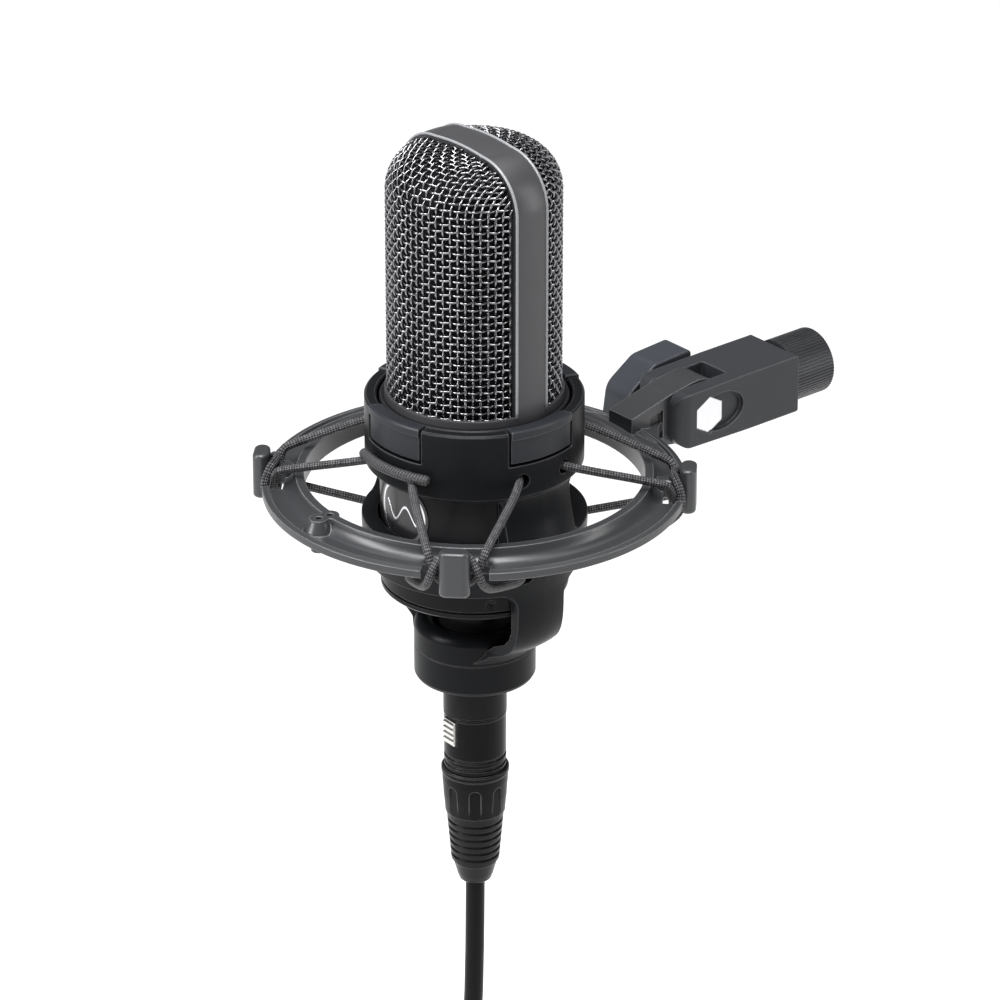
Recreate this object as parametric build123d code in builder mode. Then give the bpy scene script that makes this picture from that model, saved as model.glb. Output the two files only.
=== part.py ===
from build123d import *

import os
from math import cos, radians, sin

# Ribbon microphone in an elastic shock mount, with its stand clamp and its plugged-in lead.
# Millimetres. +Z runs up along the microphone, whose front faces -Y. The origin is the mouth of
# the stand thread, and MIC_Y is where the microphone's own axis stands.

os.makedirs("parts", exist_ok=True)

# ---- driving dimensions -------------------------------------------------------------------
MIC_Y = -129.4          # microphone axis, measured from the mouth of the stand thread

# microphone
BODY_R = 26.7
BODY_WALL = 1.5
BODY_TOP = 25.4         # top of the body tube
FLANGE_TOP = 27.2       # top of the ring that carries the grille
BODY_BOTTOM = -28.6
CAP_BOTTOM = -31.0
NECK_R = 10.5
NECK_STEP = -57.0
BARREL_R = 9.15
BARREL_BORE = 7.95
BARREL_END = -71.9
XLR_PIN_R = 1.2
XLR_PIN_CIRCLE = 4.5

# grille
GRILLE_R = 24.4
GRILLE_WALL = 0.8
SCREEN_WALL = 0.4
FRAME_R = 25.3
FRAME_HALF = 5.4        # half the width of the band that runs over the top
GRILLE_TOP = 102.4
SHOULDER_R = 14.0       # of the band's shoulders
MESH_SHOULDER_R = 12.0
MESH_TOP = GRILLE_TOP - 0.8
SCREEN_TOP = GRILLE_TOP - 2.6
CROWN = 0.9
SCREEN_R = 22.8

# shock mount ring
RING_OUT = 59.9
RING_IN = 48.0
HOOKS = (45, 135, 225, 315)     # angles from the front, towards +X
HOOK_R = 60.3
HOOK_WIDTH = 8.5
HOOK_DEPTH = 4.6
HOOK_TOP = 6.9
HOOK_BOTTOM = -6.5
NOTCH_HALF = 9.4
NOTCH_R = 53.4
BOSS_ANGLE = -4.0
BOSS_HOLES = (49.4, 53.1)       # how far its two holes are from the axis
CORD_R = 1.2

# cradle
COLLAR_R = 30.9
COLLAR_BORE = 27.4
COLLAR_TOP = 27.5
COLLAR_BOTTOM = 8.0
SKIRT_BOTTOM = -22.2
SKIRT_TOP = -9.0
LEG_HALF = 8.4
UPPER_HOLE_ANGLE = 14.0
UPPER_HOLE_Z = 12.6
LOWER_SLOT_ANGLE = 14.4
LOWER_SLOT_Z = -17.0
HUB_R = 17.4
HUB_BORE = 11.2
HUB_TOP = -42.0
SEAM_Z = -50.6
CUP_BOTTOM = -60.6
JAW_HALF_ANGLE = 20.4

# arm and swivel block
BOLT_Y = -49.4
BOLT_R = 3.2
TONGUE_HALF = 5.0
TONGUE_R = 9.4
BLOCK_HALF = 10.2
BLOCK_FRONT = -61.0
BLOCK_BACK = -14.8
BLOCK_HEIGHT = 17.6
BLOCK_CORNER = 4.6      # rounding of the fork's front corners, seen from above
SLOT_HALF = 5.2
SLOT_END = -38.9
HEX_AF = 10.0
THREAD_R = 7.44         # minor radius of the 5/8 inch stand thread
THREAD_LENGTH = 11.0
ADAPTER_R = 9.8
ADAPTER_LENGTH = 14.5
STUD_R = 4.0

# plug and lead
PLUG_R = 9.0
PLUG_TOP = -72.2
NOSE_LENGTH = 11.0      # how far the plug goes into the barrel
NUT_TOP = -90.3
BOOT_TOP = -105.0
CABLE_R = 2.8
TURN_PITCH = 5.6        # distance between neighbouring turns of the coil
COIL_X = -33.1
COIL_LAYERS = 4
COIL_OUTER = 40.4       # radius of the outermost turn
COIL_Z = -242.5
FAR_X = COIL_X - COIL_OUTER
FAR_TOP = -268.0        # where the far connector's boot begins
COIL_FRONT = -TURN_PITCH * 1.5

MIC_AXIS = Axis((0, MIC_Y, 0), (0, 0, 1))
SIDE = Plane(origin=(0, MIC_Y, 0), x_dir=(1, 0, 0), z_dir=(0, -1, 0))
FAR_SIDE = Plane(origin=(FAR_X, MIC_Y + COIL_FRONT, 0), x_dir=(1, 0, 0), z_dir=(0, -1, 0))
FAR_AXIS = Axis((FAR_X, MIC_Y + COIL_FRONT, 0), (0, 0, 1))


# ---- helpers ------------------------------------------------------------------------------
def level(z):
    """A horizontal plane at height z, centred on the microphone's axis."""
    return Plane(origin=(0, MIC_Y, z))


def polar(angle, radius, z):
    """A point at an angle from the front, towards +X, around the microphone's axis."""
    return Vector(radius * sin(radians(angle)), MIC_Y - radius * cos(radians(angle)), z)


def outward(angle, radius, z):
    """A plane that faces away from the axis, with its own Y upwards."""
    turn_to = radians(angle)
    return Plane(
        origin=polar(angle, radius, z),
        x_dir=(cos(turn_to), sin(turn_to), 0),
        z_dir=(sin(turn_to), -cos(turn_to), 0),
    )


def turn(points, mode=Mode.ADD, plane=SIDE, axis=MIC_AXIS):
    """Turns an outline of (radius, height) points about an axis."""
    with BuildSketch(plane) as outline:
        with BuildLine():
            Polyline(*points, close=True)
        make_face()
    revolve(outline.sketch, axis=axis, mode=mode)


def disc(radius, bottom, top, mode=Mode.ADD):
    """A plain cylinder on the microphone's axis."""
    turn([(0, bottom), (radius, bottom), (radius, top), (0, top)], mode)


def bush(inner, outer, bottom, top, mode=Mode.ADD):
    """A plain ring on the microphone's axis."""
    turn([(inner, bottom), (outer, bottom), (outer, top), (inner, top)], mode)


def dome(radius, top, shoulder_r, mode=Mode.ADD):
    """A straight wall from the flange up, with a rounded shoulder and a low crown."""
    shoulder = radius - shoulder_r
    with BuildSketch(SIDE) as outline:
        with BuildLine():
            Polyline((0, top + CROWN), (0, FLANGE_TOP), (radius, FLANGE_TOP), (radius, top - shoulder_r))
            JernArc((radius, top - shoulder_r), (0, 1), shoulder_r, 90)
            ThreePointArc((shoulder, top), (shoulder / 2, top + 0.75 * CROWN), (0, top + CROWN))
        make_face()
    revolve(outline.sketch, axis=MIC_AXIS, mode=mode)


def block(x, y, z, mode=Mode.ADD):
    """A box given by its lowest and highest x, y and z, with y counted from the axis."""
    corner = (x[0], MIC_Y + y[0], z[0])
    with Locations(corner):
        Box(x[1] - x[0], y[1] - y[0], z[1] - z[0], align=(Align.MIN,) * 3, mode=mode)


def tube(points, radii, radius):
    """A round cord along straight runs joined by tangent arcs."""
    with BuildLine() as path:
        if radii:
            FilletPolyline(*points, radius=radii)
        else:
            Line(*points)
    with BuildSketch(Plane(origin=path.line @ 0, z_dir=path.line % 0)) as section:
        Circle(radius)
    sweep(section.sketch, path=path.line)


def sector(inner, outer, bottom, top, centre, half_angle, mode=Mode.ADD):
    """Part of a ring, from one angle to another about the microphone's axis."""
    start = centre - half_angle - 90
    with BuildSketch(level(bottom)) as plan:
        with BuildLine():
            far = CenterArc((0, 0), outer, start, 2 * half_angle)
            near = CenterArc((0, 0), inner, start, 2 * half_angle)
            Line(far @ 0, near @ 0)
            Line(far @ 1, near @ 1)
        make_face()
    extrude(plan.sketch, amount=top - bottom, mode=mode)


# ---- microphone: casing -------------------------------------------------------------------
SCREW_ANGLES = (60, 240)
SCREW_Z = -26.4

with BuildPart() as body_tube:
    bush(BODY_R - BODY_WALL, BODY_R, BODY_BOTTOM, BODY_TOP)
    for angle in SCREW_ANGLES:
        with BuildSketch(outward(angle, BODY_R - 3, SCREW_Z)):
            Circle(1.45)
        extrude(amount=4, mode=Mode.SUBTRACT)
body_tube.part.label = "body_tube"
export_step(body_tube.part, "parts/body_tube.step")

with BuildPart() as base_cap:
    turn([
        (NECK_R + 0.05, CAP_BOTTOM), (BODY_R - 0.5, CAP_BOTTOM), (BODY_R, CAP_BOTTOM + 0.5),
        (BODY_R, CAP_BOTTOM + 1.6), (BODY_R - 0.8, CAP_BOTTOM + 1.8), (BODY_R - 0.8, BODY_BOTTOM),
        (BODY_R - BODY_WALL, BODY_BOTTOM), (BODY_R - BODY_WALL, BODY_BOTTOM + 5),
        (BODY_R - 4.5, BODY_BOTTOM + 5), (BODY_R - 4.5, BODY_BOTTOM), (NECK_R + 0.05, BODY_BOTTOM),
    ])
    for angle in SCREW_ANGLES:
        with BuildSketch(outward(angle, BODY_R - 6, SCREW_Z)):
            Circle(0.8)
        extrude(amount=6, mode=Mode.SUBTRACT)
base_cap.part.label = "base_cap"
export_step(base_cap.part, "parts/base_cap.step")

with BuildPart() as case_screws:
    for angle in SCREW_ANGLES:
        with BuildSketch(outward(angle, BODY_R - 4.2, SCREW_Z)):
            Circle(0.8)
        extrude(amount=3)
        with BuildSketch(outward(angle, BODY_R - 1.4, SCREW_Z)):
            Circle(1.4)
        extrude(amount=1.2)
        with BuildSketch(outward(angle, BODY_R - 0.7, SCREW_Z)):
            Rectangle(1.7, 0.4)
            Rectangle(0.4, 1.7)
        extrude(amount=1, mode=Mode.SUBTRACT)
case_screws.part.label = "case_screws"
export_step(case_screws.part, "parts/case_screws.step")

with BuildPart() as neck:
    turn([
        (NECK_R, NECK_STEP), (NECK_R, BODY_BOTTOM + 1), (NECK_R - 1.6, BODY_BOTTOM + 1),
        (NECK_R - 1.6, NECK_STEP + 3), (3, NECK_STEP + 3), (3, NECK_STEP), (BARREL_BORE, NECK_STEP),
        (BARREL_BORE, BARREL_END), (BARREL_R, BARREL_END), (BARREL_R, NECK_STEP - 1.2),
    ])
neck.part.label = "neck"
export_step(neck.part, "parts/neck.step")

with BuildPart() as xlr_insert:
    disc(BARREL_BORE, NECK_STEP - 3.5, NECK_STEP)
    with BuildSketch(level(NECK_STEP - 3.5)):
        with PolarLocations(XLR_PIN_CIRCLE, 3):
            Circle(XLR_PIN_R)
    extrude(amount=3.5, mode=Mode.SUBTRACT)
xlr_insert.part.label = "xlr_insert"
export_step(xlr_insert.part, "parts/xlr_insert.step")

with BuildPart() as xlr_pins:
    with BuildSketch(level(BARREL_END + 2)):
        with PolarLocations(XLR_PIN_CIRCLE, 3):
            Circle(XLR_PIN_R)
    extrude(amount=NECK_STEP - BARREL_END - 2)
xlr_pins.part.label = "xlr_pins"
export_step(xlr_pins.part, "parts/xlr_pins.step")

BADGE_R = 10.0
BADGE_Z = -2.0
with BuildPart() as badge:
    with BuildSketch(Plane(origin=(0, MIC_Y, BADGE_Z), x_dir=(1, 0, 0), z_dir=(0, -1, 0))):
        Circle(BADGE_R)
    extrude(amount=BODY_R + 3)
    bush(BODY_R, BODY_R + 0.35, BADGE_Z - 20, BADGE_Z + 20, Mode.INTERSECT)
badge.part.label = "badge"
export_step(badge.part, "parts/badge.step")

with BuildPart() as top_ring:
    turn([
        (22.0, BODY_TOP), (BODY_R, BODY_TOP), (BODY_R, FLANGE_TOP - 0.4),
        (BODY_R - 0.4, FLANGE_TOP), (22.0, FLANGE_TOP),
    ])
top_ring.part.label = "top_ring"
export_step(top_ring.part, "parts/top_ring.step")

# ---- microphone: grille -------------------------------------------------------------------
BASE_RING_TOP = FLANGE_TOP + 2.2
BIG = 80.0

with BuildPart() as grille_frame:
    dome(FRAME_R, GRILLE_TOP, SHOULDER_R)
    dome(FRAME_R - 2.2, GRILLE_TOP - 2.2, MESH_SHOULDER_R, Mode.SUBTRACT)
    block((-BIG, BIG), (-FRAME_HALF, FRAME_HALF), (0, 2 * BIG), Mode.INTERSECT)
    bush(GRILLE_R + 0.05, FRAME_R, FLANGE_TOP, BASE_RING_TOP)
grille_frame.part.label = "grille_frame"
export_step(grille_frame.part, "parts/grille_frame.step")

for side, name in ((-1, "front"), (1, "rear")):
    near, far = sorted((side * (FRAME_HALF + 0.05), side * BIG))
    with BuildPart() as grille:
        dome(GRILLE_R, MESH_TOP, MESH_SHOULDER_R)
        dome(GRILLE_R - GRILLE_WALL, MESH_TOP - GRILLE_WALL, MESH_SHOULDER_R, Mode.SUBTRACT)
        block((-BIG, BIG), (near, far), (0, 2 * BIG), Mode.INTERSECT)
    grille.part.label = f"{name}_grille"
    export_step(grille.part, f"parts/{name}_grille.step")
    with BuildPart() as screen:
        dome(SCREEN_R, SCREEN_TOP, MESH_SHOULDER_R)
        dome(SCREEN_R - SCREEN_WALL, SCREEN_TOP - SCREEN_WALL, MESH_SHOULDER_R, Mode.SUBTRACT)
        block((-BIG, BIG), (near, far), (0, 2 * BIG), Mode.INTERSECT)
    screen.part.label = f"{name}_screen"
    export_step(screen.part, f"parts/{name}_screen.step")

# ---- microphone: ribbon motor and electronics ---------------------------------------------
MOTOR_BOTTOM = 33.0
MOTOR_TOP = 91.0
MOTOR_HALF = 15.5
MOTOR_DEPTH = 6.0
RIBBON_HALF = 2.3
GAP_HALF = 3.2
RIBBON_BOTTOM = MOTOR_BOTTOM + 7
RIBBON_TOP = MOTOR_TOP - 7

with BuildPart() as motor_frame:
    block((-MOTOR_HALF, MOTOR_HALF), (-MOTOR_DEPTH, MOTOR_DEPTH), (MOTOR_BOTTOM, MOTOR_TOP))
    block((-12.5, 12.5), (-10, 10), (MOTOR_BOTTOM + 4, MOTOR_TOP - 4), Mode.SUBTRACT)
    fillet(motor_frame.edges().filter_by(Axis.Y), 1.2)
motor_frame.part.label = "motor_frame"
export_step(motor_frame.part, "parts/motor_frame.step")

with BuildPart() as magnets:
    for side in (-1, 1):
        near, far = sorted((side * GAP_HALF, side * 12.5))
        block((near, far), (-4.5, 4.5), (RIBBON_BOTTOM, RIBBON_TOP))
    chamfer(magnets.edges().filter_by(Axis.Z), 0.8)
magnets.part.label = "magnets"
export_step(magnets.part, "parts/magnets.step")

RIBBON_WAVES = 22
RIBBON_THICK = 0.12
for offset, name in ((-1.2, "front"), (1.2, "rear")):
    pitch = (RIBBON_TOP - RIBBON_BOTTOM) / RIBBON_WAVES
    crest = [
        (MIC_Y + offset + (0.35 if step % 2 else -0.35), RIBBON_BOTTOM + step * pitch / 2)
        for step in range(2 * RIBBON_WAVES + 1)
    ]
    back = [(y + RIBBON_THICK, z) for y, z in reversed(crest)]
    with BuildPart() as ribbon:
        with BuildSketch(Plane.YZ):
            with BuildLine():
                Polyline(*crest, *back, close=True)
            make_face()
        extrude(amount=RIBBON_HALF, both=True)
    ribbon.part.label = f"{name}_ribbon"
    export_step(ribbon.part, f"parts/{name}_ribbon.step")

with BuildPart() as ribbon_clamps:
    for low, high in ((MOTOR_BOTTOM + 4, RIBBON_BOTTOM), (RIBBON_TOP, MOTOR_TOP - 4)):
        block((-7, 7), (-3.5, 3.5), (low, high))
ribbon_clamps.part.label = "ribbon_clamps"
export_step(ribbon_clamps.part, "parts/ribbon_clamps.step")

with BuildPart() as motor_plate:
    disc(21.9, FLANGE_TOP - 1.5, FLANGE_TOP + 1.3)
    with BuildSketch(level(FLANGE_TOP - 2)):
        with Locations((0, 12), (0, -12)):
            Circle(2.5)
    extrude(amount=6, mode=Mode.SUBTRACT)
motor_plate.part.label = "motor_plate"
export_step(motor_plate.part, "parts/motor_plate.step")

with BuildPart() as motor_isolators:
    with BuildSketch(level(FLANGE_TOP + 1.3)):
        with Locations((-11, 0), (11, 0)):
            Circle(3)
    extrude(amount=MOTOR_BOTTOM - FLANGE_TOP - 1.3)
motor_isolators.part.label = "motor_isolators"
export_step(motor_isolators.part, "parts/motor_isolators.step")

with BuildPart() as chassis_posts:
    with BuildSketch(level(BODY_BOTTOM)):
        with Locations((-18.5, 0), (18.5, 0)):
            Circle(2.2)
    extrude(amount=FLANGE_TOP - 1.5 - BODY_BOTTOM)
chassis_posts.part.label = "chassis_posts"
export_step(chassis_posts.part, "parts/chassis_posts.step")

with BuildPart() as transformer:
    with BuildSketch(level(0)):
        with Locations((0, -6)):
            RectangleRounded(24, 20, 3)
    extrude(amount=23)
    fillet(transformer.faces().sort_by(Axis.Z)[-1].edges(), 1.5)
transformer.part.label = "transformer"
export_step(transformer.part, "parts/transformer.step")

with BuildPart() as circuit_board:
    block((-15.5, 15.5), (8, 9.6), (BODY_BOTTOM + 1, 22))
    with Locations((-8, MIC_Y + 11.1, -12), (6, MIC_Y + 11.1, -14), (0, MIC_Y + 11.1, 8)):
        Box(7, 3, 9)
circuit_board.part.label = "circuit_board"
export_step(circuit_board.part, "parts/circuit_board.step")

# ---- shock mount: ring with its arm -------------------------------------------------------
RING_BOTTOM = -3.0
RIM_TOP = 3.1
RIM_OUT = 50.4
FLOOR_Z = -0.7
COVE_OUT = 53.6
LIP_IN = 57.7
ARM_START = 54.5
ARM_WEB = 7.4

with BuildPart() as suspension_ring:
    with BuildSketch(SIDE):
        with BuildLine():
            Polyline((COVE_OUT, FLOOR_Z), (LIP_IN, FLOOR_Z), (LIP_IN + 0.5, 0.3), (RING_OUT, -0.1),
                     (RING_OUT, -2.2), (RING_OUT - 1.4, RING_BOTTOM), (RING_IN, RING_BOTTOM),
                     (RING_IN, RIM_TOP), (RIM_OUT, RIM_TOP), (RIM_OUT + 0.3, RIM_TOP - 0.9))
            ThreePointArc((RIM_OUT + 0.3, RIM_TOP - 0.9), (51.6, 0.3), (COVE_OUT, FLOOR_Z))
        make_face()
    revolve(axis=MIC_AXIS)
    # two-hole boss on the inner rim, and the foot under it
    with BuildSketch(outward(BOSS_ANGLE, 0, RING_BOTTOM) * Plane.XZ.location):
        with Locations((0, BOSS_HOLES[0]), (0, BOSS_HOLES[1])):
            Circle(2.7)
        with Locations((0, sum(BOSS_HOLES) / 2)):
            Rectangle(4.2, 3)
    extrude(amount=-(RIM_TOP - RING_BOTTOM))
    with BuildSketch(Plane(origin=polar(BOSS_ANGLE, BOSS_HOLES[1], RIM_TOP - 0.5))):
        Circle(2.7)
    extrude(amount=-(RIM_TOP - 0.5 - FLOOR_Z), taper=-28)
    # clearance for the elastic cords beside each hook
    for hook in HOOKS:
        with BuildSketch(outward(hook, NOTCH_R, 0)):
            RectangleRounded(2 * NOTCH_HALF, 12, 1.5)
        extrude(amount=12, mode=Mode.SUBTRACT)
    # hooks: a stem, and an oval post standing on it
    for hook in HOOKS:
        with BuildSketch(outward(hook, NOTCH_R - 2, 0)):
            with Locations((0, -0.1)):
                RectangleRounded(4.0, 5.6, 1)
        extrude(amount=HOOK_R - NOTCH_R + 2)
        with BuildSketch(Plane(origin=polar(hook, HOOK_R, HOOK_BOTTOM),
                               x_dir=(cos(radians(hook)), sin(radians(hook)), 0), z_dir=(0, 0, 1))):
            SlotOverall(HOOK_WIDTH, HOOK_DEPTH)
        extrude(amount=HOOK_TOP - HOOK_BOTTOM)
    for end in (HOOK_TOP, HOOK_BOTTOM):
        rounded = suspension_ring.edges().filter_by_position(Axis.Z, end - 0.01, end + 0.01)
        fillet(rounded, 0.9)
    # arm: a deep web with a flange all round, ending in the pivot tongue
    with BuildSketch(Plane.YZ):
        with BuildLine():
            Polyline((MIC_Y + ARM_START, RING_BOTTOM), (MIC_Y + ARM_START, RIM_TOP + 1),
                     (MIC_Y + 62, 6.0), (MIC_Y + 70, 7.9), (BOLT_Y - 3, TONGUE_R - 0.3),
                     (BOLT_Y, TONGUE_R))
            ThreePointArc((BOLT_Y, TONGUE_R), (BOLT_Y + TONGUE_R, 0), (BOLT_Y, -TONGUE_R))
            Polyline((BOLT_Y, -TONGUE_R), (BOLT_Y - 5, -TONGUE_R + 0.5), (MIC_Y + 66, -7.5),
                     (MIC_Y + ARM_START, RING_BOTTOM))
        make_face()
    extrude(amount=TONGUE_HALF, both=True)
    for side in (-1, 1):
        with BuildSketch(Plane.YZ.offset(side * TONGUE_HALF)):
            with BuildLine():
                Polyline((MIC_Y + 61.5, 2.2), (MIC_Y + 66.5, 3.9), (MIC_Y + 66.5, -5.2),
                         (MIC_Y + 61.5, -3.6), close=True)
            make_face()
        extrude(amount=-side * (TONGUE_HALF - ARM_WEB / 2), mode=Mode.SUBTRACT)
    # flared roots where the arm leaves the ring
    with BuildSketch(Plane.XY.offset(RING_BOTTOM)):
        for side in (-1, 1):
            with BuildLine():
                Polyline((side * 4, MIC_Y + 67), (side * 4, MIC_Y + 56), (side * 19, MIC_Y + 56))
                ThreePointArc((side * 19, MIC_Y + 56), (side * 9, MIC_Y + 61), (side * 4, MIC_Y + 67))
            make_face()
    extrude(amount=FLOOR_Z + 0.4 - RING_BOTTOM)
    with BuildSketch(Plane.YZ):
        with Locations((BOLT_Y, 0)):
            Circle(BOLT_R + 0.05)
    extrude(amount=BIG, both=True, mode=Mode.SUBTRACT)
    # foot under the boss, and the boss's two holes
    with BuildSketch(Plane(origin=polar(BOSS_ANGLE, BOSS_HOLES[1], -6.7))):
        Circle(2.3)
    extrude(amount=6)
    for radius in BOSS_HOLES:
        with BuildSketch(Plane(origin=polar(BOSS_ANGLE, radius, RIM_TOP - 4.0))):
            Circle(1.0)
        extrude(amount=6, mode=Mode.SUBTRACT)
suspension_ring.part.label = "suspension_ring"
export_step(suspension_ring.part, "parts/suspension_ring.step")

# ---- swivel block, bolt, knob and stand adapter -------------------------------------------
HALF_HEIGHT = BLOCK_HEIGHT / 2
POCKET_DEPTH = 3.0

with BuildPart() as swivel_block:
    with BuildSketch(Plane.YZ):
        with BuildLine():
            FilletPolyline((BLOCK_FRONT, -HALF_HEIGHT + 0.6), (BLOCK_FRONT, HALF_HEIGHT - 0.4),
                           (BLOCK_FRONT + 26, HALF_HEIGHT), (BLOCK_BACK, HALF_HEIGHT),
                           (BLOCK_BACK, -HALF_HEIGHT), (BLOCK_FRONT + 26, -HALF_HEIGHT),
                           close=True, radius=(4.2, 4.2, 9, 0.6, 0.6, 9))
        make_face()
    extrude(amount=BLOCK_HALF, both=True)
    with BuildSketch(Plane.XY) as plan:
        with Locations((0, (BLOCK_FRONT + BLOCK_BACK) / 2)):
            Rectangle(2 * BLOCK_HALF, BLOCK_BACK - BLOCK_FRONT)
        fillet(plan.vertices().group_by(Axis.Y)[0], BLOCK_CORNER)
    extrude(amount=BLOCK_HEIGHT, both=True, mode=Mode.INTERSECT)
    with BuildSketch(Plane.XY):
        with Locations((0, (BLOCK_FRONT + SLOT_END) / 2 - 5)):
            RectangleRounded(2 * SLOT_HALF, SLOT_END - BLOCK_FRONT + 10, 0.6)
    extrude(amount=BLOCK_HEIGHT, both=True, mode=Mode.SUBTRACT)
    with BuildSketch(Plane.YZ):
        with Locations((BOLT_Y, 0)):
            Circle(BOLT_R + 0.05)
    extrude(amount=BIG, both=True, mode=Mode.SUBTRACT)
    with BuildSketch(Plane.YZ.offset(BLOCK_HALF)):
        with Locations((BOLT_Y, 0)):
            RegularPolygon(HEX_AF / 2 + 0.1, 6, major_radius=False, rotation=30)
        with Locations((BOLT_Y + 4.4, 0)):
            Ellipse(8.6, 5.8)
    extrude(amount=-1.6, mode=Mode.SUBTRACT)
    with BuildSketch(Plane.YZ.offset(BLOCK_HALF)):
        with Locations((BOLT_Y, 0)):
            RegularPolygon(HEX_AF / 2 + 0.1, 6, major_radius=False, rotation=30)
    extrude(amount=-POCKET_DEPTH, mode=Mode.SUBTRACT)
    with BuildSketch(Plane(origin=(0, BLOCK_BACK, 0), z_dir=(0, -1, 0))):
        Circle(STUD_R + 0.05)
    extrude(amount=14, mode=Mode.SUBTRACT)
swivel_block.part.label = "swivel_block"
export_step(swivel_block.part, "parts/swivel_block.step")

with BuildPart() as clamp_bolt:
    with BuildSketch(Plane.YZ.offset(BLOCK_HALF - POCKET_DEPTH + 0.05)):
        with Locations((BOLT_Y, 0)):
            RegularPolygon(HEX_AF / 2, 6, major_radius=False, rotation=30)
    extrude(amount=POCKET_DEPTH - 0.6)
    with BuildSketch(Plane.YZ.offset(BLOCK_HALF - POCKET_DEPTH + 0.05)):
        with Locations((BOLT_Y, 0)):
            Circle(BOLT_R)
    extrude(amount=-(2 * BLOCK_HALF - POCKET_DEPTH + 9))
clamp_bolt.part.label = "clamp_bolt"
export_step(clamp_bolt.part, "parts/clamp_bolt.step")

with BuildPart() as clamp_washer:
    with BuildSketch(Plane.YZ.offset(-BLOCK_HALF - 0.05)):
        with Locations((BOLT_Y, 0)):
            Circle(6.2)
            Circle(BOLT_R + 0.1, mode=Mode.SUBTRACT)
    extrude(amount=-1.0)
clamp_washer.part.label = "clamp_washer"
export_step(clamp_washer.part, "parts/clamp_washer.step")

KNOB_INNER = -BLOCK_HALF - 1.3
KNOB_THICK = 11.0
NUT_HALF = 4.3          # half the width across the flats of the knob's nut
NUT_THICK = 5.0
KNOB_PLANE = Plane(origin=(KNOB_INNER, BOLT_Y, 0), x_dir=(0, 1, 0), z_dir=(1, 0, 0))
with BuildPart() as clamp_knob:
    # one swept wing, which the thumb pushes, and a shorter end opposite
    with BuildSketch(KNOB_PLANE):
        with BuildLine():
            FilletPolyline((12.8, 10.2), (-2.0, 9.2), (-12.0, 2.6), (-13.8, -9.6), (-3.0, -10.4),
                           (6.8, -4.8), close=True, radius=(1.6, 6, 6, 2.4, 5, 6))
        make_face()
    extrude(amount=-KNOB_THICK)
    fillet(clamp_knob.faces().sort_by(Axis.X)[0].edges(), 1.2)
    fillet(clamp_knob.faces().sort_by(Axis.X)[-1].edges(), 0.5)
    with BuildSketch(KNOB_PLANE):
        Circle(BOLT_R + 0.05)
    extrude(amount=-(KNOB_THICK - 2.5), mode=Mode.SUBTRACT)
    with BuildSketch(KNOB_PLANE):
        RegularPolygon(NUT_HALF, 6, major_radius=False)
    extrude(amount=-NUT_THICK, mode=Mode.SUBTRACT)
clamp_knob.part.label = "clamp_knob"
export_step(clamp_knob.part, "parts/clamp_knob.step")

with BuildPart() as knob_nut:
    with BuildSketch(KNOB_PLANE):
        RegularPolygon(NUT_HALF, 6, major_radius=False)
        Circle(BOLT_R + 0.05, mode=Mode.SUBTRACT)
    extrude(amount=-NUT_THICK)
knob_nut.part.label = "knob_nut"
export_step(knob_nut.part, "parts/knob_nut.step")

KNURLS = 64
with BuildPart() as stand_adapter:
    with BuildSketch(Plane(origin=(0, -ADAPTER_LENGTH, 0), z_dir=(0, 1, 0))):
        Circle(ADAPTER_R)
        with PolarLocations(ADAPTER_R, KNURLS):
            Rectangle(0.5, 0.42, mode=Mode.SUBTRACT)
    extrude(amount=ADAPTER_LENGTH)
    chamfer(stand_adapter.edges().filter_by(GeomType.LINE, reverse=True).group_by(Axis.Y)[-1], 0.15)
    with BuildSketch(Plane(origin=(0, 0, 0), z_dir=(0, -1, 0))):
        Circle(THREAD_R + 1.2)
    extrude(amount=THREAD_LENGTH, mode=Mode.SUBTRACT)
    with BuildSketch(Plane(origin=(0, 0, 0), z_dir=(0, -1, 0))):
        Circle(STUD_R)
    extrude(amount=ADAPTER_LENGTH, mode=Mode.SUBTRACT)
stand_adapter.part.label = "stand_adapter"
export_step(stand_adapter.part, "parts/stand_adapter.step")

with BuildPart() as thread_insert:
    with BuildSketch(Plane(origin=(0, 0, 0), z_dir=(0, -1, 0))):
        Circle(THREAD_R + 1.2)
        Circle(THREAD_R, mode=Mode.SUBTRACT)
    extrude(amount=THREAD_LENGTH)
thread_insert.part.label = "thread_insert"
export_step(thread_insert.part, "parts/thread_insert.step")

with BuildPart() as swivel_stud:
    with BuildSketch(Plane(origin=(0, -THREAD_LENGTH - 0.5, 0), z_dir=(0, -1, 0))):
        Circle(STUD_R)
    extrude(amount=ADAPTER_LENGTH - THREAD_LENGTH + 12)
swivel_stud.part.label = "swivel_stud"
export_step(swivel_stud.part, "parts/swivel_stud.step")

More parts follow.
